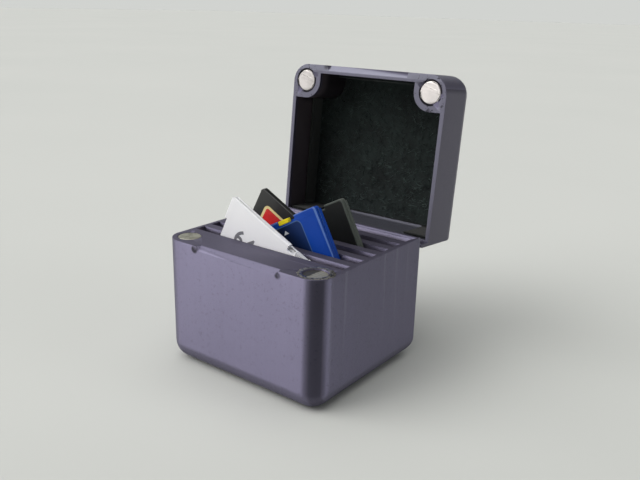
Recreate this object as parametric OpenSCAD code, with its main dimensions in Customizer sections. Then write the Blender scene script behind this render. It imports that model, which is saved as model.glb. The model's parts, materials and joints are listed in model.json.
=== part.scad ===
// Hinged memory card case with a felt-lined lid and magnetic closure.
// Cards stand on edge in V-shaped slots, leaning left and right in turn.
// X is to the right, Y to the rear, Z up; the origin is the centre of the base's flat bottom.

/* [Memory card] */
// Length of a card along its long edge
card_long = 32; // [28:0.5:36]
// Height of a card along its short edge
card_short = 24; // [20:0.5:27]
// Thickness of a card
card_t = 2.1; // [1.8:0.1:2.6]
// Length of the slanted corner at the contact end
card_cut = 4; // [2:0.5:5]
// Radius of the card's other corners
card_corner = 0.8; // [0.3:0.1:1]
// Thickness of a card's long rails, counted from the label side
card_rail_t = 1.4; // [1.3:0.05:1.5]
// Width of the rails that are stepped down at the back
card_rail_w = 0.8; // [0.5:0.1:1.2]
// Height of the joint between the two covers above the label face
card_split = 0.9; // [0.8:0.05:1]
// Width of shell wall left round the circuit board
card_wall = 1.9; // [1.5:0.1:2.4]
// Thickness of the circuit board
board_t = 0.6; // [0.5:0.05:0.65]
// Thickness of the plated contact pads
pad_t = 0.06; // [0.04:0.01:0.1]
// Number of contact pads
pad_count = 8; // [6:1:8]
// Share of the pad spacing that a pad fills
pad_share = 0.65; // [0.5:0.05:0.7]
// Distance from the card's end to the inner ends of the contact windows
window_l = 4.6; // [3.5:0.1:5.5]
// Lip between the card's end and the contact windows
window_lip = 0.6; // [0.4:0.05:1]
// Clearance between a contact pad and its window
pad_margin = 0.1; // [0.05:0.01:0.2]
// Thickness of a label
label_t = 0.1; // [0.08:0.01:0.15]

/* [Write-protect tab] */
// Start of the tab's notch along the top edge of the black and grey cards
notch_start = 19.9; // [18:0.1:21]
// Start of the notch on the white card
white_notch_start = 20.4; // [18:0.1:21]
// Start of the notch on the blue card
blue_notch_start = 18.6; // [18:0.1:21]
// Length of the notch
notch_l = 6; // [5:0.1:6.5]
// Depth of the notch below the card's top edge
notch_d = 1.3; // [1:0.1:1.4]
// Length of the sliding tab
tab_l = 3.5; // [3:0.1:4]
// Depth of the guide groove below the notch
groove_d = 0.6; // [0.5:0.05:0.7]
// Clearance round the tab
tab_play = 0.1; // [0.05:0.01:0.15]
// Wall between the groove and the hollow for the board
groove_wall = 0.4; // [0.3:0.05:0.8]

/* [Grip of the white card] */
// Depth of the grip cut into the card's left edge
grip_d = 0.8; // [0.5:0.1:1]
// Height of the grip's lower end above the card's lower edge
grip_low = 5; // [3:0.5:8]
// Height of the grip's upper end above the card's lower edge
grip_high = 17.5; // [15:0.1:19]

/* [Slots] */
// Number of card slots
slot_count = 6; // [4:1:9]
// Spare width of a slot beyond the card's thickness
slot_play = 0.9; // [0.5:0.05:1.5]
// Distance from the slot's front wall to the card's label face
card_front_gap = 0.4; // [0.15:0.05:0.45]
// Thickness of the dividers
divider_t = 2.5; // [1.5:0.1:4]
// Depth of the slots' flat floor below the base's top
slot_depth = 25; // [23:0.1:26]
// Half the width of the slots' flat floor
floor_half = 7; // [6.8:0.1:8]
// Slope of the slots' side ramps, in degrees
ramp_angle = 45; // [42:0.5:48]
// Clearance between a card's corner and the side wall
side_play = 1.55; // [0.5:0.05:3]
// Gap under a seated card
seat_gap = 0.1; // [0.05:0.01:0.3]

/* [Where each card's lowest corner stands, from the middle of its slot] */
// White card
white_foot = 7.3; // [4:0.1:8]
// Blue card
blue_foot = 5.9; // [4:0.1:8]
// Black card
black_foot = 6.4; // [4:0.1:8]
// Grey card
grey_foot = 6.6; // [4:0.1:8]

/* [Base] */
// Height of the base
base_h = 33.5; // [32:0.5:38]
// Thickness of the side walls
side_wall = 1.2; // [1:0.1:3]
// Depth of the solid ledge in front of the slots
ledge_d = 10.2; // [9:0.1:14]
// Thickness of the base's rear wall
rear_wall = 2.6; // [1.6:0.1:5]
// Radius of the rounded edges and front corners
edge_r = 5; // [3:0.25:6]

/* [Lid] */
// Gap between the closed lid and the base
lid_gap = 0.15; // [0.1:0.01:0.3]
// Thickness of the lid's top panel
panel_t = 1.6; // [1.2:0.1:3]
// Thickness of the lid's front wall
lid_front_wall = 2.35; // [2:0.05:3]
// Thickness of the lid's rear wall
lid_rear_wall = 1.4; // [1.2:0.05:2]
// Radius of the hollow's rounded edges
hollow_r = 4; // [2:0.25:5]
// Clearance between the highest card corner and the felt
headroom = 0.75; // [0.3:0.05:2]
// Size of the square magnet bosses, measured from the lid's outer faces
boss_size = 9.6; // [9:0.1:11]
// Opening angle of the lid on its stop, in degrees
open_angle = 95.4; // [90:0.1:100]

/* [Felt] */
// Thickness of the felt pad
felt_t = 2; // [1:0.1:3]
// Thickness of the felt where it climbs the walls
felt_edge_t = 0.7; // [0.5:0.05:1]
// Height that the felt climbs up the side walls from its face
felt_climb = 4.4; // [3:0.1:6]
// Half the width of the bare strip in the middle of the rear wall
felt_bare_half = 16; // [10:0.5:18]
// Bare margin between the rear felt corners and the rim
felt_rim_margin = 1; // [0.5:0.1:4]
// Clearance round the felt
felt_play = 0.1; // [0.05:0.01:0.2]

/* [Magnets] */
// Diameter of the disc magnets
magnet_dia = 6; // [4:0.5:6.5]
// Thickness of the disc magnets
magnet_t = 2; // [1:0.25:3]
// Distance from a magnet's centre to the outer faces
magnet_inset = 4.6; // [4.5:0.05:5]
// Clearance round a magnet in its pocket
magnet_play = 0.08; // [0.03:0.01:0.15]
// Depth that the right base magnet is sunk below the ledge
magnet_sink = 0.35; // [0:0.05:0.6]

/* [Finger recess] */
// Half the length of the recess at its open edge
recess_half = 14.2; // [8:0.1:15]
// Depth of the recess into the ledge
recess_d = 1.4; // [0.8:0.05:1.6]
// Height of the recess
recess_h = 1.3; // [0.8:0.05:2]
// Length of the recess's slanted ends
recess_end = 1.4; // [0.5:0.1:3]

/* [Hinge] */
// Distance from the base's rear face to the hinge axis
hinge_out = 1.25; // [1.2:0.05:1.8]
// Depth of the hinge axis below the base's top
hinge_drop = 3.2; // [2.8:0.05:4]
// Radius of the hinge pin
pin_r = 0.6; // [0.4:0.05:0.7]
// Radial clearance of the pin in the knuckles
pin_play = 0.05; // [0.03:0.01:0.08]
// Outer radius of the base's knuckles
knuckle_r = 1.7; // [1.4:0.05:2]
// Height of the web under a base knuckle
knuckle_web = 2.6; // [1:0.1:5]
// Total length of the hinge
hinge_l = 42; // [30:1:44]
// Number of knuckles on base and lid together
knuckle_count = 5; // [3:2:9]
// Gap between neighbouring knuckles
knuckle_gap = 0.4; // [0.25:0.05:0.6]
// Thickness of the lid's rear skirt
skirt_t = 1; // [0.8:0.05:1]
// Reach of the lid's stop heel below the axis when the lid is open
heel_l = 1.7; // [1.4:0.05:2.2]
// Gap between the stop heel and the base when the lid is open
stop_gap = 0.03; // [0.02:0.01:0.06]

/* [Hidden] */
$fn = 96;
eps = 0.01;

WHITE = 0;
BLUE = 1;
BLACK = 2;
GREY = 3;

// Each card's name, lean (1 falls to the right, -1 rises), distance of its lowest corner from
// the middle, tab place in its notch (0 at the start, 1 at the contact end), label margins
// from the left, right, bottom and top edges, start of the notch and depth of the grip
CARDS = [
    ["white", 1, white_foot, 1, [2.2, 6.2, 1.6, 1.6], white_notch_start, grip_d],
    ["blue", -1, blue_foot, 0, [1.4, 1.4, 1.4, 1.9], blue_notch_start, 0],
    ["black", 1, black_foot, 1, [3.3, 3, 1.6, 3.8], notch_start, 0],
    ["grey", -1, grey_foot, 0, [2.2, 3, 1.6, 3.2], notch_start, 0]];

// Seat of a card whose lowest corner is low_x from the middle: the other lower corner lies on
// the opposite ramp, at the distance of the card's long edge
slot_floor = base_h - slot_depth;
ramp = tan(ramp_angle);
function floor_z(x) = slot_floor + ramp * max(0, abs(x) - floor_half);
function high_x(low_x) =
    let (rise = slot_floor - ramp * floor_half - floor_z(low_x),
         a = 1 + ramp * ramp,
         b = low_x + ramp * rise,
         c = low_x * low_x + rise * rise - card_long * card_long)
    (-b + sqrt(b * b - a * c)) / a;
function card_tilt(low_x) =
    atan2(floor_z(high_x(low_x)) - floor_z(low_x), high_x(low_x) + low_x);
function card_top(low_x) =
    floor_z(high_x(low_x)) + seat_gap + card_short * cos(card_tilt(low_x));

card_reach = max([for (c = CARDS) high_x(c[2])]);
card_peak = max([for (c = CARDS) card_top(c[2])]);

slot_w = card_t + slot_play;
slot_pitch = slot_w + divider_t;
slot_half = card_reach + side_play;
half_w = slot_half + side_wall;
base_d = ledge_d + slot_count * slot_pitch - divider_t + rear_wall;
front_y = -base_d / 2;
rear_y = base_d / 2;

axis_y = rear_y + hinge_out;
axis_z = base_h - hinge_drop;
rim_z = base_h + lid_gap;
felt_z = card_peak + headroom;
panel_z = felt_z + felt_t;
lid_top = panel_z + panel_t;
magnet_x = half_w - magnet_inset;
magnet_y = front_y + magnet_inset;
pocket_r = magnet_dia / 2 + magnet_play;
boss_r = boss_size - magnet_inset;
bore_r = pin_r + pin_play;
knuckle_l = (hinge_l - (knuckle_count - 1) * knuckle_gap) / knuckle_count;
lid_knuckle_r = hinge_out - 0.1;

notch_floor = card_short - notch_d;
pocket_front = card_split - 0.3;
board_top = card_short - notch_d - groove_d - groove_wall;
pads_low = card_cut + card_wall * (sqrt(2) - 1);
pad_pitch = (board_top - pad_margin - pads_low) / pad_count;
pad_w = pad_pitch * pad_share;
window_w = pad_w + 2 * pad_margin;
pads_v = pads_low + pad_pitch / 2;

// Plan of a block with round front corners and square rear corners
module plan(hw, y0, y1, r) {
    translate([-hw, y0 + r]) square([2 * hw, y1 - y0 - r]);
    translate([-hw + r, y0]) square([2 * (hw - r), y1 - y0]);
    for (s = [-1, 1]) translate([s * (hw - r), y0 + r]) circle(r);
}

// Block with a flat top at height h, round front corners and round bottom edges
module soft_block(hw, y0, y1, h, r) {
    intersection() {
        union() {
            translate([0, 0, r]) linear_extrude(h - r) plan(hw, y0, y1, r);
            translate([-hw + r, y0 + r, 0]) cube([2 * (hw - r), y1 - y0 - r, h]);
            translate([-hw + r, y0 + r, r]) rotate([0, 90, 0]) cylinder(r = r, h = 2 * (hw - r));
            for (s = [-1, 1]) translate([s * (hw - r), y0 + r, r]) {
                rotate([-90, 0, 0]) cylinder(r = r, h = y1 - y0 - r);
                sphere(r);
            }
        }
        translate([-hw - 1, 0, 0]) rotate([90, 0, 90]) linear_extrude(2 * hw + 2) {
            translate([y0 - 1, -1]) square([y1 - r - y0 + 1, h + 2]);
            translate([y0 - 1, r]) square([y1 - y0 + 1, h]);
            translate([y1 - r, r]) circle(r);
        }
    }
}

// Wedge taken off the front edge of the rim for the fingers; up is the side it opens to
module finger_wedge(z, up) {
    inner = recess_half - recess_end;
    translate([0, front_y, z]) polyhedron(
        points = [
            [-recess_half, -1, up], [recess_half, -1, up],
            [-inner, -1, -up * (recess_h + recess_h / recess_d)],
            [inner, -1, -up * (recess_h + recess_h / recess_d)],
            [-inner, recess_d + recess_d / recess_h, up],
            [inner, recess_d + recess_d / recess_h, up]],
        faces = up > 0
            ? [[0, 1, 3, 2], [0, 4, 5, 1], [2, 3, 5, 4], [0, 2, 4], [1, 5, 3]]
            : [[0, 2, 3, 1], [0, 1, 5, 4], [2, 4, 5, 3], [0, 4, 2], [1, 3, 5]]);
}

// Upright section of one card slot
module slot_profile() {
    wall_z = floor_z(slot_half);
    polygon([
        [-floor_half, slot_floor], [floor_half, slot_floor],
        [slot_half, wall_z], [slot_half, base_h + 1],
        [-slot_half, base_h + 1], [-slot_half, wall_z]]);
}

module card_slots() {
    for (k = [0 : slot_count - 1])
        translate([0, front_y + ledge_d + k * slot_pitch + slot_w, 0])
            rotate([90, 0, 0]) linear_extrude(slot_w) slot_profile();
}

// Left end of knuckle k
function knuckle_x(k) = -hinge_l / 2 + k * (knuckle_l + knuckle_gap);

module along_hinge(x, l) {
    translate([x, axis_y, axis_z]) rotate([90, 0, 90]) linear_extrude(l) children();
}

module base_knuckle(k) {
    along_hinge(knuckle_x(k), knuckle_l) difference() {
        union() {
            circle(knuckle_r);
            polygon([
                [-hinge_out - 1, -knuckle_r - knuckle_web], [-hinge_out, -knuckle_r - knuckle_web],
                [knuckle_r * 0.7, -knuckle_r * 0.7], [0, 0], [-hinge_out - 1, 0.6]]);
        }
        circle(bore_r);
    }
}

module base_body() {
    color([0.42, 0.40, 0.49]) difference() {
        union() {
            soft_block(half_w, front_y, rear_y, base_h, edge_r);
            for (k = [0 : 2 : knuckle_count - 1]) base_knuckle(k);
        }
        card_slots();
        finger_wedge(base_h, 1);
        for (s = [-1, 1])
            translate([s * magnet_x, magnet_y, base_h - magnet_t - (s > 0 ? magnet_sink : 0) - eps])
                cylinder(r = pocket_r, h = magnet_t + 2);
    }
}

module base_magnet(s, sink) {
    color([0.75, 0.74, 0.68])
        translate([s * magnet_x, magnet_y, base_h - magnet_t - sink])
            cylinder(d = magnet_dia, h = magnet_t);
}
module base_magnet_left() { base_magnet(-1, 0); }
module base_magnet_right() { base_magnet(1, magnet_sink); }

module hinge_pin() {
    color([0.6, 0.6, 0.62])
        translate([-hinge_l / 2, axis_y, axis_z]) rotate([0, 90, 0]) cylinder(r = pin_r, h = hinge_l);
}

// Turns the lid's pieces, drawn closed, to where they rest when the lid is open
module opened() {
    translate([0, axis_y, axis_z]) rotate([-open_angle, 0, 0])
        translate([0, -axis_y, -axis_z]) children();
}

// Block with round top edges between two heights
module lid_block(hw, y0, y1, bottom, top, r) {
    translate([0, 0, top]) mirror([0, 0, 1]) soft_block(hw, y0, y1, top - bottom, r);
}

// The lid's hollow, drawn in by a margin
module lid_hollow(margin, bottom) {
    lid_block(half_w - side_wall - margin, front_y + lid_front_wall + margin,
        axis_y - lid_rear_wall - margin, bottom, panel_z - margin, hollow_r);
}

// Plan of the two magnet bosses, grown by a margin
module boss_plan(margin) {
    for (s = [-1, 1]) mirror([s < 0 ? 1 : 0, 0]) {
        translate([magnet_x - boss_r - margin, front_y]) square([boss_size + margin, magnet_inset]);
        translate([magnet_x, front_y]) square([magnet_inset, boss_size + margin]);
        translate([magnet_x, magnet_y]) circle(boss_r + margin);
    }
}

module lid_knuckle(k) {
    translate([knuckle_x(k), axis_y, axis_z]) {
        rotate([0, 90, 0]) cylinder(r = lid_knuckle_r, h = knuckle_l);
        rotate([open_angle, 0, 0]) translate([0, -hinge_out + stop_gap, -heel_l])
            cube([knuckle_l, hinge_out - stop_gap, heel_l]);
    }
}

module lid_skirt() {
    translate([-half_w, axis_y - skirt_t, axis_z]) cube([2 * half_w, skirt_t, rim_z - axis_z + 1]);
    translate([-half_w, axis_y - skirt_t / 2, axis_z])
        rotate([0, 90, 0]) cylinder(d = skirt_t, h = 2 * half_w);
}

module lid_closed() {
    difference() {
        union() {
            difference() {
                lid_block(half_w, front_y, axis_y, rim_z, lid_top, edge_r);
                difference() {
                    lid_hollow(0, rim_z - 1);
                    translate([0, 0, rim_z - 2]) linear_extrude(lid_top - rim_z + 2) boss_plan(0);
                }
                finger_wedge(rim_z, -1);
            }
            difference() {
                lid_skirt();
                for (k = [0 : 2 : knuckle_count - 1])
                    translate([knuckle_x(k) - knuckle_gap, axis_y, axis_z]) rotate([0, 90, 0])
                        cylinder(r = knuckle_r + 0.35, h = knuckle_l + 2 * knuckle_gap);
            }
            for (k = [1 : 2 : knuckle_count - 2]) lid_knuckle(k);
        }
        translate([-hinge_l / 2, axis_y, axis_z]) rotate([0, 90, 0]) cylinder(r = bore_r, h = hinge_l);
        for (s = [-1, 1]) translate([s * magnet_x, magnet_y, rim_z - 1])
            cylinder(r = pocket_r, h = magnet_t + 1 + eps);
    }
}

module lid_body() {
    color([0.42, 0.40, 0.49]) opened() lid_closed();
}

module lid_magnet(s) {
    color([0.88, 0.86, 0.84]) opened()
        translate([s * magnet_x, magnet_y, rim_z]) cylinder(d = magnet_dia, h = magnet_t);
}
module lid_magnet_left() { lid_magnet(-1); }
module lid_magnet_right() { lid_magnet(1); }

// Felt sheet under the lid's panel, with edges that climb the side and front walls and
// corners that climb the rear wall
module lid_felt() {
    margin = felt_play;
    in_w = half_w - side_wall - margin;
    in_front = front_y + lid_front_wall + margin;
    in_rear = axis_y - lid_rear_wall - margin;
    edge_z = felt_z - felt_climb;
    corner_z = rim_z + felt_rim_margin;
    color([0.09, 0.12, 0.11]) opened() intersection() {
        difference() {
            lid_hollow(margin, rim_z);
            translate([0, 0, rim_z - 1]) linear_extrude(lid_top - rim_z) boss_plan(margin);
        }
        union() {
            translate([-in_w, in_front, felt_z]) cube([2 * in_w, in_rear - in_front, felt_t]);
            translate([-in_w, in_front, edge_z]) cube([2 * in_w, felt_edge_t, felt_t + felt_climb]);
            for (s = [-1, 1]) mirror([s < 0 ? 1 : 0, 0, 0]) {
                translate([in_w - felt_edge_t, in_front, edge_z])
                    cube([felt_edge_t, in_rear - in_front, felt_t + felt_climb]);
                translate([felt_bare_half, in_rear - felt_edge_t, corner_z])
                    cube([in_w - felt_bare_half, felt_edge_t, felt_z + felt_t - corner_z]);
            }
        }
    }
}

// Puts a card, drawn with its lower left corner at the origin, into its slot
module in_slot(i) {
    lean = CARDS[i][1];
    low_x = CARDS[i][2];
    left_x = lean > 0 ? high_x(low_x) : low_x;
    translate([-left_x, front_y + ledge_d + i * slot_pitch + card_front_gap,
        floor_z(left_x) + seat_gap])
        rotate([0, lean * card_tilt(low_x), 0]) children();
}

// Slab of a card from one depth behind the label face to another
module slab(w0, w1) {
    translate([0, w1, 0]) rotate([90, 0, 0]) linear_extrude(w1 - w0) children();
}

// Card outline drawn in by a margin, with its slanted corner at the lower right
module card_outline(margin) {
    bevel = card_cut + margin * (sqrt(2) - 1);
    polygon([[margin, margin], [card_long - bevel, margin], [card_long - margin, bevel],
        [card_long - margin, card_short - margin], [margin, card_short - margin]]);
}

// Card outline with three small round corners
module round_outline() {
    r = card_corner;
    polygon([[r, 0], [card_long - card_cut, 0], [card_long, card_cut], [card_long, card_short - r],
        [card_long - r, card_short], [r, card_short], [0, card_short - r], [0, r]]);
    for (p = [[r, r], [r, card_short - r], [card_long - r, card_short - r]])
        translate(p) circle(r);
}

// Outline of the hollow for the circuit board, drawn in by a margin
module board_outline(margin) {
    intersection() {
        card_outline(card_wall + margin);
        square([card_long, board_top - margin]);
    }
}

module label_outline(i, margin) {
    edges = CARDS[i][4];
    intersection() {
        card_outline(1.2 - margin);
        translate([edges[0] - margin, edges[2] - margin])
            square([card_long - edges[0] - edges[1] + 2 * margin,
                card_short - edges[2] - edges[3] + 2 * margin]);
    }
}

// Notch and guide groove for the tab, and the grip, cut from either cover
module edge_cuts(i) {
    start = CARDS[i][5];
    slab(-1, card_rail_t) translate([start, notch_floor]) square([notch_l, notch_d + 1]);
    slab(0.4, 1) translate([start, notch_floor - groove_d]) square([notch_l, groove_d + eps]);
    if (CARDS[i][6] > 0)
        slab(-1, card_t + 1) translate([-1, grip_low])
            square([1 + CARDS[i][6], grip_high - grip_low]);
}

module card_front(i, tint) {
    color(tint) in_slot(i) difference() {
        slab(0, card_split) round_outline();
        slab(pocket_front, card_split + 1) board_outline(0);
        slab(-1, label_t + 0.02) label_outline(i, 0.1);
        edge_cuts(i);
    }
}

module card_back(i, tint) {
    color(tint) in_slot(i) difference() {
        union() {
            slab(card_split, card_rail_t) round_outline();
            slab(card_rail_t - eps, card_t) intersection() {
                round_outline();
                translate([0, card_rail_w]) square([card_long, card_short - 2 * card_rail_w]);
            }
        }
        slab(card_split - 1, card_rail_t) board_outline(0);
        for (k = [0 : pad_count - 1])
            slab(card_rail_t - 2 * eps, card_t + 1)
                translate([card_long - window_l, pads_v + k * pad_pitch - window_w / 2])
                    square([window_l - window_lip, window_w]);
        edge_cuts(i);
    }
}

module card_board(i) {
    color([0.1, 0.25, 0.2]) in_slot(i)
        slab(pocket_front + 0.05, pocket_front + 0.05 + board_t) board_outline(0.1);
}

module card_contacts(i) {
    face = pocket_front + 0.05 + board_t;
    color([0.85, 0.68, 0.35]) in_slot(i) for (k = [0 : pad_count - 1])
        slab(face, face + pad_t)
            translate([card_long - window_l, pads_v + k * pad_pitch - pad_w / 2])
                square([window_l - card_wall - 2 * pad_margin, pad_w]);
}

module card_lock(i, tint) {
    spare = notch_l - tab_l - 2 * tab_play;
    start = CARDS[i][5] + tab_play + CARDS[i][3] * spare;
    color(tint) in_slot(i) {
        slab(0.15, card_rail_t - 0.15) translate([start, notch_floor + tab_play])
            square([tab_l, notch_d - 2 * tab_play]);
        slab(0.4 + tab_play, 1 - tab_play) translate([start, notch_floor - groove_d + tab_play])
            square([tab_l, groove_d + tab_play]);
    }
}

module card_label(i, tint) {
    color(tint) in_slot(i) slab(0.02, 0.02 + label_t) label_outline(i, 0);
}

white = [0.93, 0.93, 0.94];
blue = [0.10, 0.25, 0.62];
black = [0.08, 0.09, 0.09];
grey = [0.13, 0.15, 0.14];

module white_card_front() { card_front(WHITE, white); }
module white_card_back() { card_back(WHITE, white); }
module white_card_board() { card_board(WHITE); }
module white_card_contacts() { card_contacts(WHITE); }
module white_card_lock() { card_lock(WHITE, [0.80, 0.80, 0.82]); }
module white_card_label() { card_label(WHITE, [0.96, 0.96, 0.97]); }

module blue_card_front() { card_front(BLUE, blue); }
module blue_card_back() { card_back(BLUE, blue); }
module blue_card_board() { card_board(BLUE); }
module blue_card_contacts() { card_contacts(BLUE); }
module blue_card_lock() { card_lock(BLUE, [0.93, 0.80, 0.15]); }
module blue_card_label() { card_label(BLUE, [0.14, 0.33, 0.74]); }

module black_card_front() { card_front(BLACK, black); }
module black_card_back() { card_back(BLACK, black); }
module black_card_board() { card_board(BLACK); }
module black_card_contacts() { card_contacts(BLACK); }
module black_card_lock() { card_lock(BLACK, [0.25, 0.26, 0.27]); }
module black_card_label() { card_label(BLACK, [0.78, 0.12, 0.10]); }

module grey_card_front() { card_front(GREY, grey); }
module grey_card_back() { card_back(GREY, grey); }
module grey_card_board() { card_board(GREY); }
module grey_card_contacts() { card_contacts(GREY); }
module grey_card_lock() { card_lock(GREY, [0.30, 0.32, 0.31]); }
module grey_card_label() { card_label(GREY, [0.20, 0.22, 0.22]); }

base_body();
base_magnet_left();
base_magnet_right();
hinge_pin();
lid_body();
lid_felt();
lid_magnet_left();
lid_magnet_right();
white_card_front();
white_card_back();
white_card_board();
white_card_contacts();
white_card_lock();
white_card_label();
blue_card_front();
blue_card_back();
blue_card_board();
blue_card_contacts();
blue_card_lock();
blue_card_label();
black_card_front();
black_card_back();
black_card_board();
black_card_contacts();
black_card_lock();
black_card_label();
grey_card_front();
grey_card_back();
grey_card_board();
grey_card_contacts();
grey_card_lock();
grey_card_label();
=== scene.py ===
import json
import math
import random

import bmesh
import bpy
from mathutils import Matrix, Vector


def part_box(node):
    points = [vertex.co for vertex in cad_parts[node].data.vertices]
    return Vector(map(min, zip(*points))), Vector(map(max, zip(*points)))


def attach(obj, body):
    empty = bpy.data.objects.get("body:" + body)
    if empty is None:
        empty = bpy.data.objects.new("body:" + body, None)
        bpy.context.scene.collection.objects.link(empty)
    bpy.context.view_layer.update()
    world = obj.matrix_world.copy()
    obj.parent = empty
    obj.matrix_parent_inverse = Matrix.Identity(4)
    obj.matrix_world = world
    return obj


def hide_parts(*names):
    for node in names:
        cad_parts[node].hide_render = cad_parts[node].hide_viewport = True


MM = 0.001

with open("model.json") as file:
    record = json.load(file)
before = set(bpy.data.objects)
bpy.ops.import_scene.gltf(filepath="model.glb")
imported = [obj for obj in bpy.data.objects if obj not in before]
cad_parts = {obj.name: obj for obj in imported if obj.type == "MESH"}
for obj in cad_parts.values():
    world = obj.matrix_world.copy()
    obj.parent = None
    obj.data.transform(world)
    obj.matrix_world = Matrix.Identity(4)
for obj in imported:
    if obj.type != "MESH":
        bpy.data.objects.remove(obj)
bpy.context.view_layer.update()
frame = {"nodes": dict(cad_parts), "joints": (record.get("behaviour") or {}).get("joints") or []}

# Driving places, taken from the frame
base_low, base_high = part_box("base_body")
magnet_low, magnet_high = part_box("base_magnet_left")
HALF_W = base_high.x
BASE_TOP = base_high.z
FRONT_Y = base_low.y
REAR_Y = -FRONT_Y
HINGE = next(j for j in frame["joints"] if j["name"] == "lid_hinge")
AXIS = Vector(HINGE["pos_m"])
OPEN_ANGLE = math.radians(HINGE["range_deg"][1])
LEDGE_MAGNET_X = -(magnet_low.x + magnet_high.x) / 2
LEDGE_MAGNET_Y = (magnet_low.y + magnet_high.y) / 2

# Sizes of the finish, in metres
SLOT_PITCH = 5.5 * MM
LEDGE_REAR = FRONT_Y + 9.9 * MM
LAYER = 0.2 * MM
PRINT_LINE = 0.42 * MM
SOFT_EDGE = 0.15 * MM
TOUCH = 0.01 * MM
POCKET_REACH = 3.3 * MM
GLUE_RISE = 0.11 * MM
FELT_T = 2.0 * MM
FELT_FLAT_W = 47 * MM
FELT_MARGIN = 1.2 * MM
FIBRE_COUNT = 1500

# Polygons from which a mesh keeps its plain smooth shading
FINE_MESH = 30000

# Photo's camera: place, yaw, pitch and roll in degrees, and lens for a 36 mm sensor
CAMERA_AT = Vector((111.9, -137.35, 90.6)) * MM
CAMERA_TURN = (-36.96, -18.06, 1.47)
CAMERA_LENS = 40.56

# The lid is worked on closed and turned open about the hinge
OPENING = Matrix.Translation(AXIS) @ Matrix.Rotation(-OPEN_ANGLE, 4, "X") @ Matrix.Translation(-AXIS)
CLOSING = OPENING.inverted()
RIM_Z = min((CLOSING @ v.co).z for v in frame["nodes"]["lid_magnet_left"].data.vertices)
PANEL_Z = max((CLOSING @ v.co).z for v in frame["nodes"]["lid_felt"].data.vertices)


# Camera and light

def direction(azimuth, elevation):
    """Unit vector seen from the object; azimuth 0 is the front and 90 the right."""
    a, e = math.radians(azimuth), math.radians(elevation)
    return Vector((math.sin(a) * math.cos(e), -math.cos(a) * math.cos(e), math.sin(e)))


def add_camera():
    """The photo's camera, solved from the case's edges."""
    yaw, pitch, roll = [math.radians(angle) for angle in CAMERA_TURN]
    forward = Vector((math.sin(yaw) * math.cos(pitch), math.cos(yaw) * math.cos(pitch), math.sin(pitch)))
    level = Vector((math.cos(yaw), -math.sin(yaw), 0))
    upright = level.cross(forward)
    right = math.cos(roll) * level + math.sin(roll) * upright
    up = right.cross(forward)
    data = bpy.data.cameras.new("camera")
    data.lens, data.sensor_width = CAMERA_LENS, 36
    data.clip_start, data.clip_end = 0.005, 20
    camera = bpy.data.objects.new("camera", data)
    bpy.context.scene.collection.objects.link(camera)
    turn = Matrix((right, up, -forward)).transposed().to_4x4()
    camera.matrix_world = Matrix.Translation(CAMERA_AT) @ turn
    bpy.context.scene.camera = camera


# Shader maths

class Wire:
    """A number or colour socket that takes part in Python arithmetic."""

    def __init__(self, tree, socket):
        self.tree, self.socket = tree, socket

    def maths(self, operation, *others, swap=False, clamp=False):
        values = [self, *others]
        if swap:
            values.reverse()
        return add_node(self.tree, "ShaderNodeMath", {"operation": operation, "use_clamp": clamp},
                        dict(enumerate(values)))

    def __add__(self, other):
        return self.maths("ADD", other)

    def __radd__(self, other):
        return self.maths("ADD", other)

    def __sub__(self, other):
        return self.maths("SUBTRACT", other)

    def __rsub__(self, other):
        return self.maths("SUBTRACT", other, swap=True)

    def __mul__(self, other):
        return self.maths("MULTIPLY", other)

    def __rmul__(self, other):
        return self.maths("MULTIPLY", other)

    def __truediv__(self, other):
        return self.maths("DIVIDE", other)

    def __pow__(self, other):
        return self.maths("POWER", other)

    def clamp(self):
        return self.maths("ADD", 0, clamp=True)

    def abs(self):
        return self.maths("ABSOLUTE")

    def fraction(self):
        return self.maths("FRACT")

    def above(self, level):
        return self.maths("GREATER_THAN", level)

    def most(self, other):
        return self.maths("MAXIMUM", other)

    def least(self, other):
        return self.maths("MINIMUM", other)

    def ramp(self, low, high):
        """0 below low, 1 above high, smooth between."""
        return add_node(self.tree, "ShaderNodeMapRange", {"interpolation_type": "SMOOTHSTEP"},
                        {"Value": self, "From Min": low, "From Max": high})


def add_node(tree, kind, settings=None, inputs=None, out=0):
    """Adds a node with its settings first, then the values or links of its sockets."""
    node = tree.nodes.new(kind)
    for name, value in (settings or {}).items():
        setattr(node, name, value)
    for name, value in (inputs or {}).items():
        socket = node.inputs[name]
        if isinstance(value, Wire):
            tree.links.new(value.socket, socket)
        elif isinstance(value, (tuple, list)) and len(value) == 3 and socket.type == "RGBA":
            socket.default_value = (*value, 1)
        else:
            socket.default_value = value
    return Wire(tree, node.outputs[out])


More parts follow.
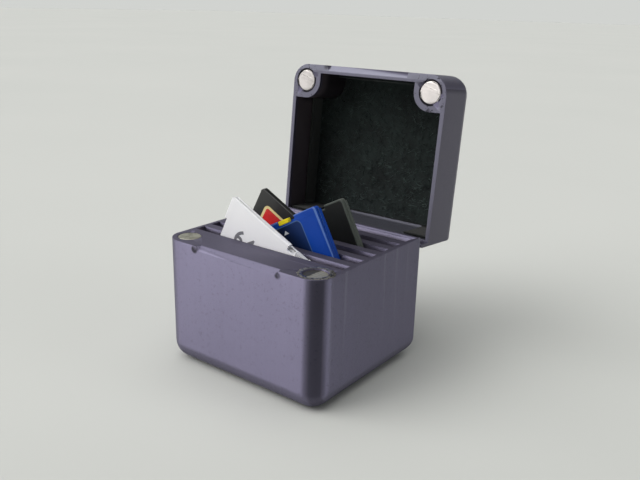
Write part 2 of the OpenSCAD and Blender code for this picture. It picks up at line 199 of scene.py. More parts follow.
class Finish:
    """A material with one Principled shader, made from expressions."""

    def __init__(self, name, **constants):
        self.material = bpy.data.materials.new(name)
        self.material.use_nodes = True
        self.tree = self.material.node_tree
        self.shader = self.tree.nodes["Principled BSDF"]
        for socket, value in constants.items():
            self.feed(socket.replace("_", " "), value)

    def add(self, kind, settings=None, inputs=None, out=0):
        return add_node(self.tree, kind, settings, inputs, out)

    def place(self, scale=(1, 1, 1), turn=(0, 0, 0), shift=(0, 0, 0)):
        """Object coordinates through a Mapping node."""
        where = self.add("ShaderNodeTexCoord", out="Object")
        return self.add("ShaderNodeMapping", {"vector_type": "POINT"},
                        {"Vector": where, "Scale": scale, "Rotation": turn, "Location": shift})

    def axes(self, where=None):
        where = where or self.place()
        return [self.add("ShaderNodeSeparateXYZ", inputs={"Vector": where}, out=k) for k in range(3)]

    def normal_axes(self):
        """Surface direction in the piece's own frame as three wires, so that it turns with the piece."""
        facing = self.add("ShaderNodeTexCoord", out="Normal")
        return [self.add("ShaderNodeSeparateXYZ", inputs={"Vector": facing}, out=k) for k in range(3)]

    def noise(self, where, scale, detail=2.0, rough=0.5, out="Fac"):
        return self.add("ShaderNodeTexNoise", inputs={
            "Vector": where, "Scale": scale, "Detail": detail, "Roughness": rough}, out=out)

    def blend(self, factor, first, second):
        return self.add("ShaderNodeMix", {"data_type": "RGBA"},
                        {"Factor": factor, 6: first, 7: second}, out=2)

    def bump(self, height, strength=1.0, distance=1.0, before=None):
        inputs = {"Height": height, "Strength": strength, "Distance": distance}
        if before is not None:
            inputs["Normal"] = before
        return self.add("ShaderNodeBump", inputs=inputs)

    def feed(self, socket, value):
        target = self.shader.inputs[socket]
        if isinstance(value, Wire):
            self.tree.links.new(value.socket, target)
        elif isinstance(value, (tuple, list)) and len(value) == 3 and target.type == "RGBA":
            target.default_value = (*value, 1)
        else:
            target.default_value = value


def srgb(r, g, b):
    """Linear colour of an sRGB colour given in 0 to 255."""
    def one(v):
        v /= 255
        return v / 12.92 if v <= 0.04045 else ((v + 0.055) / 1.055) ** 2.4
    return (one(r), one(g), one(b))


# Mesh tools

def deselect_all():
    if bpy.context.object and bpy.context.object.mode != "OBJECT":
        bpy.ops.object.mode_set(mode="OBJECT")
    bpy.ops.object.select_all(action="DESELECT")


def take(piece):
    """Makes a piece the only selected and active object."""
    deselect_all()
    piece.select_set(True)
    bpy.context.view_layer.objects.active = piece
    return piece


def modify(piece, kind, **settings):
    """Adds one modifier and applies it."""
    take(piece)
    modifier = piece.modifiers.new(kind.title(), kind)
    for name, value in settings.items():
        setattr(modifier, name, value)
    bpy.ops.object.modifier_apply(modifier=modifier.name)
    return piece


def clean(piece, merge=1e-6):
    """Merges the doubles of a copied mesh."""
    mesh = bmesh.new()
    mesh.from_mesh(piece.data)
    bmesh.ops.remove_doubles(mesh, verts=mesh.verts, dist=merge)
    bmesh.ops.recalc_face_normals(mesh, faces=mesh.faces)
    mesh.to_mesh(piece.data)
    mesh.free()
    return piece


def copy_of(node, name):
    """A merged copy of a CAD node's mesh, as a new piece that stands for it."""
    piece = bpy.data.objects.new(name, frame["nodes"][node].data.copy())
    bpy.context.scene.collection.objects.link(piece)
    piece.data.materials.clear()
    return clean(piece)


def round_edges(piece, width, pick=None, segments=2, angle=35):
    """Bevels the sharp edges whose two ends pass the test pick, or all of them."""
    mesh = bmesh.new()
    mesh.from_mesh(piece.data)
    weight = mesh.edges.layers.float.new("bevel_weight_edge")
    for edge in mesh.edges:
        sharp = len(edge.link_faces) == 2 and edge.calc_face_angle() > math.radians(angle)
        if sharp and (pick is None or pick(edge.verts[0].co, edge.verts[1].co)):
            edge[weight] = 1.0
    mesh.to_mesh(piece.data)
    mesh.free()
    return modify(piece, "BEVEL", width=width, segments=segments, limit_method="WEIGHT",
                  use_clamp_overlap=pick is None, miter_outer="MITER_ARC")


def settle(piece, body, node, finish, smooth_angle=35):
    """Gives a piece its shading and material, hangs it on its body and hides the CAD node that it stands
    for.
    """
    take(piece)
    bpy.ops.object.shade_smooth_by_angle(angle=math.radians(smooth_angle))
    if len(piece.data.polygons) < FINE_MESH:
        modify(piece, "WEIGHTED_NORMAL", weight=90, keep_sharp=True)
    piece.data.materials.clear()
    piece.data.materials.append(finish)
    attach(piece, body)
    if node:
        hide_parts(node)
    return piece


# Stage

def floor_finish():
    """Pale matt paper with a faint mottle and fibres, and painted shade towards the front right."""
    look = Finish("paper", Roughness=0.9, Specular_IOR_Level=0.15)
    where = look.place()
    patch = look.noise(where, 4.0, detail=3)
    fibre = look.noise(where, 1800, detail=3)
    x, y, _ = look.axes(where)
    # Paper darker towards the front right: painted shade.
    painted_floor_shade = (x * 0.75 - y * 0.65).ramp(-0.02, 0.14)
    paper = look.blend(patch, srgb(203, 205, 201), srgb(210, 211, 207))
    look.feed("Base Color", look.blend(painted_floor_shade * 0.6, paper, srgb(186, 188, 184)))
    look.feed("Normal", look.bump(fibre * 0.01 * MM))
    return look.material


def add_stage():
    """A wide sheet of pale paper under the case."""
    deselect_all()
    bpy.ops.mesh.primitive_plane_add(size=12, location=(0, 0, 0))
    sheet = bpy.context.object
    sheet.name = "paper_floor"
    sheet.data.materials.append(floor_finish())


def panel_of_light(tree, x, y, z, azimuth, elevation, half_width, half_height, soft, strength, tint):
    """A soft-edged square of light, far off in one direction."""
    out = direction(azimuth, elevation)
    side = Vector((math.cos(math.radians(azimuth)), math.sin(math.radians(azimuth)), 0))
    up = out.cross(side)
    ahead = (x * out.x + y * out.y + z * out.z).most(0.001)
    across = (x * side.x + y * side.y) / ahead
    along = (x * up.x + y * up.y + z * up.z) / ahead
    wide = 1 - across.abs().ramp(half_width - soft, half_width + soft)
    high = 1 - along.abs().ramp(half_height - soft, half_height + soft)
    return add_node(tree, "ShaderNodeBackground", inputs={"Color": tint, "Strength": wide * high * strength})


# Each light: azimuth, elevation, half width, half height, soft edge, strength, colour
LIGHTS = [
    (-44, 40, 0.45, 0.34, 0.15, 3.0, (1, 0.99, 0.97)),
    (-44, 12, 0.50, 0.26, 0.15, 1.95, (1, 0.98, 1)),
    (116, 16, 0.20, 0.45, 0.10, 1.4, (0.97, 0.99, 1)),
    (-143, 24, 0.60, 0.25, 0.12, 0.25, (0.95, 0.98, 1)),
    (-70, 82, 0.70, 0.70, 0.30, 1.35, (1, 1, 1)),
]


def set_world():
    """A light tent: paper at the left and right, open above, dim behind the camera."""
    world = bpy.data.worlds.new("tent")
    bpy.context.scene.world = world
    world.use_nodes = True
    tree = world.node_tree
    tree.nodes.clear()
    where = add_node(tree, "ShaderNodeTexCoord", out="Generated")
    x, y, z = [add_node(tree, "ShaderNodeSeparateXYZ", inputs={"Vector": where}, out=k) for k in range(3)]
    horizon = 1 - z.ramp(0.03, 0.08)
    dim = direction(31, 0)
    shade = (x * dim.x + y * dim.y).ramp(0.2, 0.9)
    fill = 0.24 - shade * 0.19
    total = add_node(tree, "ShaderNodeBackground",
                     inputs={"Color": srgb(209, 211, 208), "Strength": horizon * (1 - fill) + fill})
    for light in LIGHTS:
        panel = panel_of_light(tree, x, y, z, *light)
        total = add_node(tree, "ShaderNodeAddShader", inputs={0: total, 1: panel})
    output = tree.nodes.new("ShaderNodeOutputWorld")
    tree.links.new(total.socket, output.inputs["Surface"])


# Shells

def shell_axes(look, turn):
    """Place and surface direction with the lid turned shut by the matrix turn, as six wires."""
    x, y, z = look.axes()
    nx, ny, nz = look.normal_axes()
    c, s = turn[1][1], turn[1][2]
    placed = (x, y * c + z * s + turn[1][3], z * c - y * s + turn[2][3])
    return placed, (nx, ny * c + nz * s, nz * c - ny * s)


def near(place, centre, radius, soft):
    """1 within radius of a centre, falling to 0 over soft."""
    gaps = [axis - value for axis, value in zip(place, centre)]
    far = (gaps[0] * gaps[0] + gaps[1] * gaps[1] + gaps[2] * gaps[2]) ** 0.5
    return 1 - far.ramp(radius, radius + soft)


def printed_finish(name, turn, lean, hollow, marks):
    """Silky printed plastic, with layers that tilt a wall by the slope lean. hollow gives where a
    wall belongs to the inside, which gets painted shade: a darker, duller colour; marks gives the dark and
    pale places, mostly painted shade and painted light."""
    look = Finish(name, Specular_IOR_Level=0.5)
    where = look.place()
    place, normal = shell_axes(look, turn)
    facing = normal[2].abs()
    wall = 1 - facing.ramp(0.35, 0.8)
    level = facing.ramp(0.85, 0.98)
    slope = facing.ramp(0.3, 0.5) * (1 - level)
    inner = hollow(place, normal)
    streak = look.noise(look.place(scale=(700, 700, 12)), 1.0, detail=3)
    patch = look.noise(where, 70, detail=3)
    speck = look.noise(where, 1500, detail=2).ramp(0.60, 0.72)
    tone = (streak * 0.5 + patch * 0.5).clamp()
    silk = look.blend(tone, srgb(104, 101, 121), srgb(121, 117, 139))
    silk = look.blend(speck * 0.35, silk, srgb(76, 74, 92))
    # Up-facing faces get a greyer, darker colour: painted shade on the tops.
    silk = look.blend(level * 0.55, silk, srgb(84, 81, 94))
    # Walls inside the case get a darker, brownish colour: painted shade.
    silk = look.blend(inner * 0.8, silk, srgb(88, 78, 78))
    dark, pale = marks(look, place, normal)
    silk = look.blend(pale, silk, srgb(150, 151, 164))
    look.feed("Base Color", look.blend(dark, silk, srgb(26, 24, 28)))
    look.feed("Metallic", 0.85 - inner * 0.45)
    look.feed("Roughness", 0.30 + tone * 0.14 + level * 0.3 + slope * 0.2 + inner * 0.1)
    step = (place[2] / LAYER).fraction()
    layer = step.ramp(0, 0.25) * (1 - step) * (1 - inner) * (LAYER * lean)
    grain = look.noise(where, 2200, detail=2) * (0.006 * MM)
    across = look.add("ShaderNodeTexWave", {"wave_type": "BANDS", "bands_direction": "Y"}, {
        "Vector": where, "Scale": 0.314 / PRINT_LINE / 2, "Distortion": 0.6, "Detail": 2.0}, out="Fac")
    raster = across * level * (0.010 * MM)
    look.feed("Normal", look.bump(layer * wall + raster + grain))
    return look.material


def in_slots(place, normal):
    """Where the card slots of the base get painted shade: 1 in them, more so deeper down."""
    x, y, z = place
    beside = (HALF_W - 1.1 * MM - x.abs()).above(0)
    behind = (y - LEDGE_REAR).above(0)
    before = (REAR_Y - 2.3 * MM - y).above(0)
    return beside * behind * before * (BASE_TOP - z).ramp(0.2 * MM, 2.5 * MM) * (normal[2] + 0.3).above(0)


def in_lid(place, normal):
    """Where the inner walls of the lid get painted shade: 1 on them, but for the rear one, which catches
    light when it is open.
    """
    x, y, z = place
    beside = (HALF_W - 0.9 * MM - x.abs()).above(0)
    behind = (y - (FRONT_Y + 2.0 * MM)).above(0)
    before = (AXIS.y - 1.0 * MM - y).above(0)
    deep = (z - RIM_Z).ramp(0.2 * MM, 1.5 * MM) * (PANEL_Z + 0.8 * MM - z).above(0)
    inward = (0 - x * normal[0] - y * normal[1] - (z - RIM_Z) * normal[2]).above(0)
    return beside * behind * before * deep * inward * (1 - (0 - normal[1]).ramp(0.4, 0.8))


def base_marks(look, place, normal):
    """Painted shade at the ends of the finger recess, on sloped faces and on the tops towards the right, a
    painted dark reflection down the front right corner, and dividers that show through the side walls.
    """
    x, y, z = place
    # Dark spots at the two ends of the finger recess: painted shade.
    left = near(place, (-13.9 * MM, FRONT_Y + 0.2 * MM, BASE_TOP - 1.0 * MM), 0.7 * MM, 0.6 * MM)
    right = near(place, (13.0 * MM, FRONT_Y + 0.2 * MM, BASE_TOP - 1.1 * MM), 0.5 * MM, 0.7 * MM)
    rough = look.noise(look.place(), 700, detail=3).ramp(0.3, 0.6)
    row = ((y - FRONT_Y) / SLOT_PITCH - 0.35).fraction()
    line = 1 - (row - 0.5).abs().ramp(0.03, 0.16)
    fade = (z - 4 * MM).ramp(0, BASE_TOP - 6 * MM)
    broken = look.noise(look.place(scale=(1, 900, 45)), 1.0, detail=3).ramp(0.35, 0.65)
    pale = line * normal[0].abs().ramp(0.8, 0.95) * fade * broken * 0.28
    level = normal[2].ramp(0.85, 0.98)
    # Sloped faces get painted shade; the tops get darker towards the right and over the dividers, a painted
    # dark reflection.
    slope = normal[2].abs().ramp(0.3, 0.5) * (1 - level)
    wear_and_shade = level * (x + 5 * MM).ramp(0, 24 * MM) * (0.22 + (y - FRONT_Y).ramp(9 * MM, 11 * MM) * 0.08)
    # A dark band down the front right rounded corner: a painted dark reflection.
    corner = normal[0].ramp(0.3, 0.5) * (1 - normal[0].ramp(0.84, 0.92)) * (0 - y).above(0) * 0.38
    recess_end_shade = (left + right).clamp() * (rough * 0.4 + 0.6).clamp() * 0.92
    return recess_end_shade.most(slope * 0.08 + wear_and_shade).most(corner * (1 - level)), pale


def lid_marks(look, place, normal):
    """Painted shade in the gaps round the magnets, on the outer side walls, at the left end of the finger
    recess and deep down the bosses, pits in the rim beside the magnets, and painted light on the rim, the
    front lip and the rear inner wall.
    """
    x, y, z = place
    gap_x = x.abs() - LEDGE_MAGNET_X
    gap_y = y - LEDGE_MAGNET_Y
    far = (gap_x * gap_x + gap_y * gap_y) ** 0.5
    # Dark ring round each magnet: painted shade in the gap beside the magnet.
    ring = 1 - far.ramp(POCKET_REACH, POCKET_REACH + 0.25 * MM)
    pits = look.noise(look.place(), 1100, detail=3, rough=0.6).ramp(0.60, 0.66)
    beside = (1 - far.ramp(4.2 * MM, 6.5 * MM)) * pits
    rim = (0 - normal[2]).above(0.9)
    # Outer side walls darker, less so near the panel: painted shade.
    side = normal[0].abs().ramp(0.5, 0.9) * (1 - (z - (PANEL_Z - 3 * MM)).ramp(0, 2 * MM) * 0.6)
    outside = (x.abs() - (HALF_W - 0.3 * MM)).above(0)
    # Dark spot at the left end of the finger recess: painted shade.
    end = near(place, (-13.6 * MM, FRONT_Y + 0.3 * MM, RIM_Z + 0.5 * MM), 0.2 * MM, 1.2 * MM)
    # Boss walls darker deep down: painted shade.
    boss = (1 - far.ramp(5.5 * MM, 8 * MM)) * (z - RIM_Z).ramp(1.5 * MM, 5 * MM) * in_lid(place, normal)
    dark = (ring + beside * 0.8) * rim + side * outside * 0.54 + end * 0.8 + boss * 0.8
    # Rear inner wall paler: painted light.
    rear = (0 - normal[1]).ramp(0.4, 0.8) * (1 - outside) * (z - RIM_Z).above(0.1 * MM)
    front = (FRONT_Y + 1.6 * MM - y).above(0)
    inside = y.above(0) * (AXIS.y - 1 * MM - y).above(0)
    # Rim and front lip paler: painted light.
    lip = (rim * 0.35).most(front * (0 - normal[2]).ramp(0.4, 0.7) * 0.65) * (1 - ring)
    return dark.clamp(), (lip + rear * inside * 0.85).clamp()


def at_pocket(p):
    """Whether a point of the closed case lies on the edge of a magnet's pocket."""
    return math.hypot(abs(p.x) - LEDGE_MAGNET_X, p.y - LEDGE_MAGNET_Y) < POCKET_REACH


def at_mouth(p):
    """Whether a point of the base's top lies on the edge of a card slot."""
    return abs(p.x) < HALF_W - 1.1 * MM and LEDGE_REAR < p.y < REAR_Y - 1 * MM


def add_shells():
    """Base and lid, with their rims and finger recesses softened."""
    def at_top(a, b):
        return all(p.z > BASE_TOP - TOUCH and not at_pocket(p) and not at_mouth(p) for p in (a, b))

    def at_rim(a, b):
        shut = (CLOSING @ a, CLOSING @ b)
        return all(abs(p.z - RIM_Z) < TOUCH and not at_pocket(p) for p in shut)

    base = round_edges(copy_of("base_body", "base_shell"), SOFT_EDGE, at_top)
    plastic = printed_finish("printed_base", Matrix.Identity(4), 0.40, in_slots, base_marks)
    settle(base, "root", "base_body", plastic, smooth_angle=18)
    lid = round_edges(copy_of("lid_body", "lid_shell"), SOFT_EDGE, at_rim)
    plastic = printed_finish("printed_lid", CLOSING, 0.06, in_lid, lid_marks)
    settle(lid, "lid", "lid_body", plastic, smooth_angle=18)


# Magnets, glue and pin

def magnet_finish(name, light, dark, roughness):
    """Nickel plating with cloudy wear and fine scratches."""
    look = Finish(name, Metallic=1.0)
    where = look.place()
    cloud = look.noise(where, 420, detail=4, rough=0.6)
    scratch = look.noise(look.place(scale=(260, 2600, 2600), turn=(0.3, 0.2, 0.7)), 1.0, detail=2)
    look.feed("Base Color", look.blend(cloud.ramp(0.35, 0.7), light, dark))
    look.feed("Roughness", cloud * 0.2 + roughness)
    look.feed("Normal", look.bump(scratch * (0.004 * MM) + cloud * (0.02 * MM)))
    return look.material


def left_dark_finish():
    """Plating that is dark over its left part, up to a ragged edge."""
    look = Finish("stained_nickel", Metallic=0.9)
    where = look.place()
    x, y, _ = look.axes(where)
    ragged = look.noise(where, 900, detail=4, rough=0.65)
    cloud = look.noise(where, 420, detail=4, rough=0.6)
    # Darker over the left part of the disc, up to a ragged edge.
    side = (LEDGE_MAGNET_X - 0.5 * MM - x + (ragged - 0.5) * (1.6 * MM)).ramp(-0.15 * MM, 0.2 * MM)
    band = ((y - LEDGE_MAGNET_Y) / (0.9 * MM) + ragged * 1.5).fraction().ramp(0.1, 0.7)
    plate = look.blend(band * cloud, srgb(196, 192, 172), srgb(150, 147, 132))
    look.feed("Base Color", look.blend(side * 0.85, plate, srgb(64, 61, 56)))
    look.feed("Roughness", 0.34 + cloud * 0.2)
    look.feed("Normal", look.bump(ragged * (0.05 * MM) + cloud * (0.03 * MM)))
    return look.material


def add_magnets():
    """Four discs with softened edges: in the lid a bright one and a darker copy as painted shade; in the
    base one with wear and one dark over its left part.
    """
    bright = magnet_finish("nickel", srgb(212, 207, 204), srgb(200, 196, 193), 0.36)
    # The left lid magnet is a darker copy of the same nickel: painted shade.
    shaded_copy = magnet_finish("dull_nickel", srgb(190, 186, 183), srgb(178, 174, 171), 0.36)
    left_dark = left_dark_finish()
    wear_and_shade = magnet_finish("worn_nickel", srgb(196, 194, 180), srgb(150, 147, 134), 0.34)
    for node, body, finish in (("base_magnet_left", "root", wear_and_shade), ("base_magnet_right", "root", left_dark),
                               ("lid_magnet_left", "lid", shaded_copy), ("lid_magnet_right", "lid", bright)):
        disc = round_edges(copy_of(node, node + "_disc"), 0.28 * MM, lambda a, b: True, segments=3)
        settle(disc, body, node, finish)


def glue_finish():
    """Dried glue and torn plastic, glossy and pitted."""
    look = Finish("glue", Metallic=0.3, Coat_Weight=0.6)
    where = look.place()
    pit = look.noise(where, 1500, detail=4, rough=0.7)
    look.feed("Base Color", look.blend(pit.ramp(0.4, 0.7), srgb(52, 51, 50), srgb(134, 131, 122)))
    look.feed("Roughness", 0.15 + pit * 0.3)
    look.feed("Normal", look.bump(pit * (0.12 * MM)))
    return look.material


def add_glue_ring():
    """Rough ring of glue round the sunk magnet at the right of the ledge, lower than the closed lid."""
    rng = random.Random(5)
    mesh = bmesh.new()
    inner = (magnet_high.x - magnet_low.x) / 2 + 0.12 * MM
    turns = 120
    profile = [(0.0, -0.30), (0.02, 0.05), (0.25, 0.16), (0.55, 0.10), (0.95, 0.05), (1.15, -0.05)]
    swell = [rng.uniform(0.1, 1.9) + 1.3 * max(0, math.cos(2 * math.pi * k / turns - 0.5)) ** 6
             for k in range(turns)]
    rings = []
    for k in range(turns):
        a = 2 * math.pi * k / turns
        size = sum(swell[(k + n) % turns] for n in range(-2, 3)) / 5
        row = []
        for reach, lift in profile:
            r = inner + reach * MM * (0.8 + 0.25 * size)
            rise = min(lift * MM * (size if lift > 0 else 1) * rng.uniform(0.85, 1.1), GLUE_RISE)
            row.append(mesh.verts.new((LEDGE_MAGNET_X + r * math.cos(a),
                                       LEDGE_MAGNET_Y + r * math.sin(a), BASE_TOP + rise)))
        rings.append(row)
    for k in range(turns):
        here, there = rings[k], rings[(k + 1) % turns]
        for j in range(len(profile)):
            n = (j + 1) % len(profile)
            mesh.faces.new((here[j], here[n], there[n], there[j]))
    bmesh.ops.recalc_face_normals(mesh, faces=mesh.faces)
    data = bpy.data.meshes.new("glue_ring")
    mesh.to_mesh(data)
    mesh.free()
    ring = bpy.data.objects.new("glue_ring", data)
    bpy.context.scene.collection.objects.link(ring)
    settle(ring, "root", None, glue_finish(), smooth_angle=60)


def add_hinge_pin():
    """Drawn steel wire through the knuckles."""
    look = Finish("steel_wire", Metallic=1.0)
    where = look.place()
    drawn = look.noise(look.place(scale=(200, 4000, 4000)), 1.0, detail=2)
    stain = look.noise(where, 300, detail=3)
    look.feed("Base Color", look.blend(stain, srgb(150, 150, 152), srgb(190, 190, 192)))
    look.feed("Roughness", 0.22 + drawn * 0.15)
    look.feed("Normal", look.bump(drawn * (0.004 * MM)))
    pin = round_edges(copy_of("hinge_pin", "hinge_wire"), 0.12 * MM, lambda a, b: True)
    settle(pin, "root", "hinge_pin", look.material)


# Felt

def felt_finish():
    """Dark felt with tufts, greyer on the lid's side walls, and nearly black at the hinge as a painted
    shadow.
    """
    look = Finish("felt", Roughness=0.95, Specular_IOR_Level=0.1, Sheen_Weight=0.15, Sheen_Roughness=0.6)
    where = look.place()
    tuft = look.noise(where, 900, detail=5, rough=0.7)
    cloud = look.noise(where, 130, detail=3)
    tone = (tuft * 0.6 + cloud * 0.5).ramp(0.35, 0.75)
    shut, _ = shell_axes(look, CLOSING)
    # Felt nearly black near the hinge: a painted shadow.
    behind = (shut[1] - (AXIS.y - 2.6 * MM)).above(0)
    beside = (shut[0].abs() - (HALF_W - 2.3 * MM)).above(0)
    felt = look.blend(tone, srgb(12, 16, 16), srgb(32, 42, 40))
    felt = look.blend(beside * 0.8, felt, srgb(56, 59, 57))
    look.feed("Base Color", look.blend(behind * 0.85, felt, srgb(4, 5, 5)))
    look.feed("Normal", look.bump(tuft * (0.10 * MM)))
    return look.material


def fibre_finish():
    """Loose fibres, some of them pale."""
    look = Finish("felt_fibre", Roughness=0.7)
    tone = look.noise(look.place(), 400, detail=2)
    look.feed("Base Color", look.blend(tone.ramp(0.35, 0.65), srgb(26, 38, 37), srgb(92, 108, 104)))
    return look.material


def add_fibres(felt, count):
    """Loose curved fibres that lie on the felt's open face, each a tube of three sides."""
    rng = random.Random(11)
    low_x, high_x, low_y, high_y, face_z = felt_face(felt)
    mesh = bmesh.new()
    for _ in range(count):
        x = rng.uniform(low_x, high_x)
        y = rng.uniform(low_y, high_y)
        heading = rng.uniform(0, 2 * math.pi)
        bend = rng.uniform(-0.5, 0.5)
        length = rng.uniform(0.8, 3.2) * MM
        radius = rng.uniform(0.02, 0.05) * MM
        steps = 6
        path = []
        for k in range(steps + 1):
            lift = math.sin(math.pi * k / steps) * rng.uniform(0.05, 0.2)
            path.append(Vector((x, y, face_z - lift * MM)))
            x += math.cos(heading) * length / steps
            y += math.sin(heading) * length / steps
            heading += bend
        if not (low_x < x < high_x and low_y < y < high_y):
            continue
        rows = []
        for k, point in enumerate(path):
            run = (path[min(k + 1, steps)] - path[max(k - 1, 0)]).normalized()
            side = run.cross(Vector((0, 0, 1))).normalized()
            up = side.cross(run)
            rows.append([mesh.verts.new(point + (side * math.cos(t) + up * math.sin(t)) * radius)
                         for t in (0.5, 2.6, 4.7)])
        for first, second in zip(rows, rows[1:]):
            for k in range(3):
                n = (k + 1) % 3
                mesh.faces.new((first[k], first[n], second[n], second[k]))
        mesh.faces.new(rows[0])
        mesh.faces.new(rows[-1][::-1])
    bmesh.ops.recalc_face_normals(mesh, faces=mesh.faces)
    data = bpy.data.meshes.new("felt_fibres")
    mesh.to_mesh(data)
    mesh.free()
    data.transform(OPENING)
    fibres = bpy.data.objects.new("felt_fibres", data)
    bpy.context.scene.collection.objects.link(fibres)
    return settle(fibres, "lid", None, fibre_finish(), smooth_angle=80)


def felt_face(felt):
    """Extent of the pad's open face with the lid closed, a little inside its edges."""
    points = [CLOSING @ v.co for v in felt.data.vertices]
    high_z = max(p.z for p in points)
    xs = [p.x for p in points]
    ys = [p.y for p in points]
    return (min(xs) + FELT_MARGIN, max(xs) - FELT_MARGIN,
            min(ys) + FELT_MARGIN, max(ys) - FELT_MARGIN, high_z - FELT_T)


def add_felt():
    """The felt pad, remeshed fine and given a soft uneven face."""
    felt = copy_of("lid_felt", "felt_pad")
    modify(felt, "REMESH", mode="VOXEL", voxel_size=0.42 * MM)
    modify(felt, "SMOOTH", factor=0.6, iterations=2)
    cloud = bpy.data.textures.new("felt_waves", "CLOUDS")
    cloud.noise_scale = 2.2 * MM
    modify(felt, "DISPLACE", texture=cloud, texture_coords="LOCAL", strength=0.22 * MM, mid_level=0.75)
    settle(felt, "lid", "lid_felt", felt_finish(), smooth_angle=80)
    fibres = add_fibres(felt, FIBRE_COUNT)
    mesh = bmesh.new()
    mesh.from_mesh(felt.data)
    area = sum(face.calc_area() for face in mesh.faces) / 2
    mesh.free()
    flat = (FELT_FLAT_W, area / FELT_FLAT_W)


# Cards

class Card:
    """One card's name, finish and tab colour, with its own axes: u along the long edge, v along the
    short one."""

    def __init__(self, name, finish, tab_colour):
        self.name, self.finish, self.tab_colour = name, finish, tab_colour
        slide = next(j for j in frame["joints"] if j["name"] == name + "_lock_slide")
        self.long = Vector(slide["axis"]).normalized()
        if self.long.x < 0:
            self.long.negate()
        self.short = Vector((-self.long.z, 0, self.long.x))
        points = [v.co for v in frame["nodes"][name + "_card_front"].data.vertices]
        self.u0 = min(p.dot(self.long) for p in points)
        self.v0 = min(p.dot(self.short) for p in points)
        self.u1 = max(p.dot(self.long) for p in points)
        self.v1 = max(p.dot(self.short) for p in points)
        self.face_y = min(p.y for p in points)
        self.depth = max(v.co.y for v in frame["nodes"][name + "_card_back"].data.vertices) - self.face_y

    def node(self, part):
        return f"{self.name}_card_{part}"

    def matrix(self):
        """Takes points drawn on the label face, with Z towards the viewer, to the frame."""
        turn = Matrix((self.long, self.short, Vector((0, -1, 0)))).transposed().to_4x4()
        corner = self.long * self.u0 + self.short * self.v0 + Vector((0, self.face_y, 0))
        return Matrix.Translation(corner) @ turn

    def near_edge(self, point):
        """Whether a point lies on the card's outline and not at its label or windows."""
        u, v = point.dot(self.long), point.dot(self.short)
        inside = min(u - self.u0, self.u1 - u, v - self.v0, self.v1 - v)
        cut = (self.u1 - u) + (v - self.v0) - 4 * MM
        return inside < 0.95 * MM or cut < 0.1 * MM

    def axes(self, look):
        x, _, z = look.axes()
        u = (x * self.long.x + z * self.long.z - self.u0) / MM
        v = (x * self.short.x + z * self.short.z - self.v0) / MM
        return u, v


def rounded_box(u, v, left, right, low, high, radius):
    """Distance outside a rounded rectangle, negative inside, in millimetres."""
    across = (u - (left + right) / 2).abs() - ((right - left) / 2 - radius)
    along = (v - (low + high) / 2).abs() - ((high - low) / 2 - radius)
    out_a = across.most(0)
    out_b = along.most(0)
    outside = (out_a * out_a + out_b * out_b) ** 0.5
    return outside + across.most(along).least(0) - radius


def moulded(look, base, light, roughness, grain=0.004):
    """Shared wear of the cards' moulded plastic: faint mottle, moulding grain and rub marks."""
    where = look.place()
    mottle = look.noise(where, 180, detail=3)
    rub = look.noise(look.place(scale=(500, 500, 120), turn=(0, 0.5, 0)), 1.0, detail=4, rough=0.65)
    fine = look.noise(where, 2600, detail=2)
    look.feed("Roughness", roughness + rub * 0.12)
    look.feed("Normal", look.bump(fine * (grain * MM) + mottle * (0.01 * MM)))
    return look.blend(mottle * 0.6 + rub * 0.4, base, light)


def white_finish(card):
    """Plain white moulding."""
    look = Finish("white_card", Specular_IOR_Level=0.4)
    look.feed("Base Color", moulded(look, srgb(246, 246, 250), srgb(253, 253, 254), 0.45))
    return look.material


def blue_finish(card):
    """Glossy blue, with a thin pale frame line, a darker field inside it, a small arrow and a painted
    highlight along its edge.
    """
    look = Finish("blue_card", Specular_IOR_Level=0.2, Coat_Weight=0.05, Coat_Roughness=0.15)
    u, v = card.axes(look)
    shell = moulded(look, srgb(0, 56, 150), srgb(6, 70, 170), 0.4)
    frame_box = rounded_box(u, v, 1.6, 26.6, 1.6, 22.6, 1.6)
    inside = 1 - frame_box.ramp(-0.1, 0.1)
    line = 1 - (frame_box + 0.12).abs().ramp(0.08, 0.2)
    fade = look.blend((26.5 - u + (22 - v) * 0.4).ramp(0, 11), srgb(14, 44, 96), srgb(8, 13, 26))
    facing = (0 - look.normal_axes()[1]).ramp(0.6, 0.85)
    tone = look.blend(inside * facing, shell, fade)
    tone = look.blend(line * facing * 0.6, tone, srgb(84, 118, 170))
    # Paler band along the card's edge: a painted highlight.
    rim = rounded_box(u, v, 0, 32, 0, 24, 0.8).ramp(-0.32, -0.12)
    tone = look.blend(rim * facing * 0.5, tone, srgb(120, 152, 206))
    arrow = ((v - 20.3).ramp(-0.05, 0.1) * (1 - (v + (u - 20.7).abs() * 1.1 - 21.3).ramp(-0.1, 0.1)))
    look.feed("Base Color", look.blend(arrow * facing, tone, srgb(226, 230, 236)))
    return look.material


def black_finish(card):
    """Glossy black with a red label in a cream border."""
    look = Finish("black_card", Specular_IOR_Level=0.5, Coat_Weight=0.3, Coat_Roughness=0.15)
    u, v = card.axes(look)
    shell = moulded(look, srgb(20, 21, 20), srgb(34, 35, 33), 0.34)
    edge = rounded_box(u, v, 3.1, 29.0, 1.6, 21.05, 1.5)
    facing = (0 - look.normal_axes()[1]).ramp(0.6, 0.85)
    border = (1 - edge.ramp(-0.05, 0.05)) * facing
    field = (1 - (edge + 0.75).ramp(-0.05, 0.05)) * facing
    tone = look.blend(border, shell, srgb(242, 222, 156))
    wear_and_shade = look.noise(look.place(), 700, detail=3)
    red = look.blend(wear_and_shade, srgb(232, 26, 22), srgb(206, 16, 16))
    look.feed("Base Color", look.blend(field, tone, red))
    return look.material


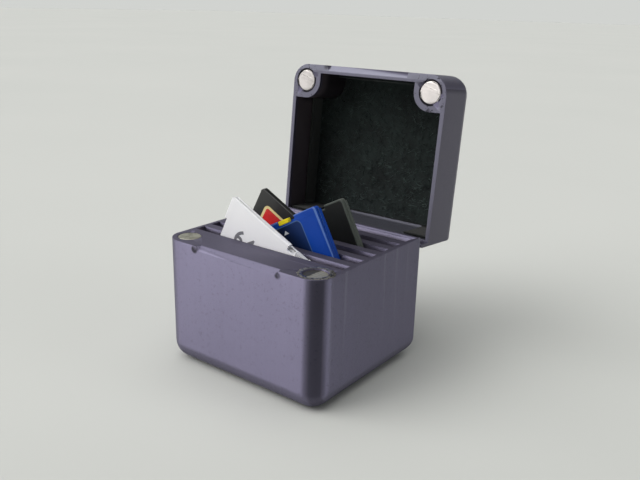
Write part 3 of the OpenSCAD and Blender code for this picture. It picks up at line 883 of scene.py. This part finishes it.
def grey_finish(card):
    """Near-black face inside grey-green edges, with a painted highlight along the edge."""
    look = Finish("grey_card", Specular_IOR_Level=0.3)
    u, v = card.axes(look)
    shell = moulded(look, srgb(54, 59, 55), srgb(72, 77, 72), 0.5)
    face = rounded_box(u, v, 0.35, 31.65, 0.35, 23.65, 0.8)
    facing = (0 - look.normal_axes()[1]).ramp(0.6, 0.85)
    tone = look.blend((1 - face.ramp(-0.05, 0.05)) * facing, shell, srgb(17, 19, 18))
    # Paler band along the card's edge: a painted highlight.
    rim = rounded_box(u, v, 0, 32, 0, 24, 0.8).ramp(-0.3, -0.1)
    look.feed("Base Color", look.blend(rim * 0.4, tone, srgb(104, 110, 104)))
    return look.material


def tab_finish(card):
    """Moulded tab with fine grip ribs across its top."""
    look = Finish(card.name + "_tab", Specular_IOR_Level=0.4)
    u, v = card.axes(look)
    rib = ((u / 0.5).fraction() - 0.5).abs().ramp(0.1, 0.4)
    light = tuple(min(1, c * 1.25) for c in card.tab_colour)
    look.feed("Base Color", moulded(look, card.tab_colour, light, 0.4))
    fine = look.noise(look.place(), 2600, detail=2)
    look.feed("Normal", look.bump(rib * (0.06 * MM) + fine * (0.004 * MM)))
    return look.material


def board_finish():
    """Green circuit board with its glass weave."""
    look = Finish("circuit_board", Specular_IOR_Level=0.5)
    where = look.place()
    weave = look.noise(look.place(scale=(3000, 600, 3000)), 1.0, detail=2)
    patch = look.noise(where, 260, detail=3)
    look.feed("Base Color", look.blend(patch, srgb(18, 52, 40), srgb(26, 70, 54)))
    look.feed("Roughness", 0.35 + weave * 0.2)
    look.feed("Normal", look.bump(weave * (0.006 * MM)))
    return look.material


def gold_finish():
    """Plated pads with the light rub marks of a reader's springs."""
    look = Finish("gold_plate", Metallic=1.0)
    rub = look.noise(look.place(scale=(300, 300, 4000)), 1.0, detail=3)
    look.feed("Base Color", look.blend(rub, srgb(226, 184, 104), srgb(196, 150, 78)))
    look.feed("Roughness", 0.2 + rub * 0.25)
    look.feed("Normal", look.bump(rub * (0.004 * MM)))
    return look.material


def flush_label(card):
    """The label, grown to the edges of its recess and level with the card's face."""
    piece = copy_of(card.node("label"), card.node("sticker"))
    us = [v.co.dot(card.long) for v in piece.data.vertices]
    vs = [v.co.dot(card.short) for v in piece.data.vertices]
    mid_u, mid_v = (min(us) + max(us)) / 2, (min(vs) + max(vs)) / 2
    front = min(v.co.y for v in piece.data.vertices)
    for vertex in piece.data.vertices:
        u, v = vertex.co.dot(card.long), vertex.co.dot(card.short)
        vertex.co += card.long * math.copysign(0.09 * MM, u - mid_u)
        vertex.co += card.short * math.copysign(0.09 * MM, v - mid_v)
        if vertex.co.y < front + TOUCH:
            vertex.co.y = card.face_y + 0.004 * MM
    return piece


def add_digits(card, body, size, place, colour):
    """Plain printed digits on a card's face; size and place in millimetres."""
    deselect_all()
    bpy.ops.object.text_add()
    text = bpy.context.object
    text.data.body, text.data.size, text.data.extrude = body, size * MM, 0.008 * MM
    text.data.offset, text.data.space_character = 0.13 * MM, 1.16
    bpy.ops.object.convert(target="MESH")
    text = bpy.context.object
    text.name = card.node("digits")
    text.data.transform(Matrix.Translation((place[0] * MM, place[1] * MM, 0.006 * MM)))
    text.data.transform(card.matrix())
    look = Finish("print_ink", Roughness=0.5)
    speck = look.noise(look.place(), 900, detail=3)
    look.feed("Base Color", look.blend(speck, colour, tuple(c * 1.25 for c in colour)))
    return settle(text, "root", None, look.material)


CARDS = [Card("white", white_finish, srgb(196, 196, 200)), Card("blue", blue_finish, srgb(255, 218, 24)),
         Card("black", black_finish, srgb(44, 46, 46)), Card("grey", grey_finish, srgb(60, 64, 62))]
SHARED = {}


def shared(name, make):
    """One material for the same piece of every card."""
    if name not in SHARED:
        SHARED[name] = make()
    return SHARED[name]


def add_card(card):
    """Covers, label and tab as finished pieces; board and pads keep their CAD mesh."""
    shell = card.finish(card)
    for part, depth in (("front", 0), ("back", card.depth)):
        def at_face(a, b):
            return all(abs(p.y - card.face_y - depth) < TOUCH and card.near_edge(p) for p in (a, b))

        cover = round_edges(copy_of(card.node(part), card.node(part + "_cover")), SOFT_EDGE, at_face)
        settle(cover, "root", card.node(part), shell)
    settle(flush_label(card), "root", card.node("label"), shell)
    tab = round_edges(copy_of(card.node("lock"), card.node("tab")), 0.1 * MM)
    settle(tab, card.name + "_lock", card.node("lock"), tab_finish(card))
    paint(card.node("board"), shared("board", board_finish))
    paint(card.node("contacts"), shared("gold", gold_finish))
    if card.name == "white":
        add_digits(card, "640", 6.3, (5.2, 13.8), srgb(112, 112, 118))


def paint(node, finish):
    """Gives a CAD node its finish."""
    for slot in frame["nodes"][node].material_slots:
        slot.material = finish


add_camera()
add_stage()
set_world()
add_shells()
add_magnets()
add_glue_ring()
add_hinge_pin()
add_felt()
for card in CARDS:
    add_card(card)

bpy.context.scene.view_settings.view_transform = "Standard"
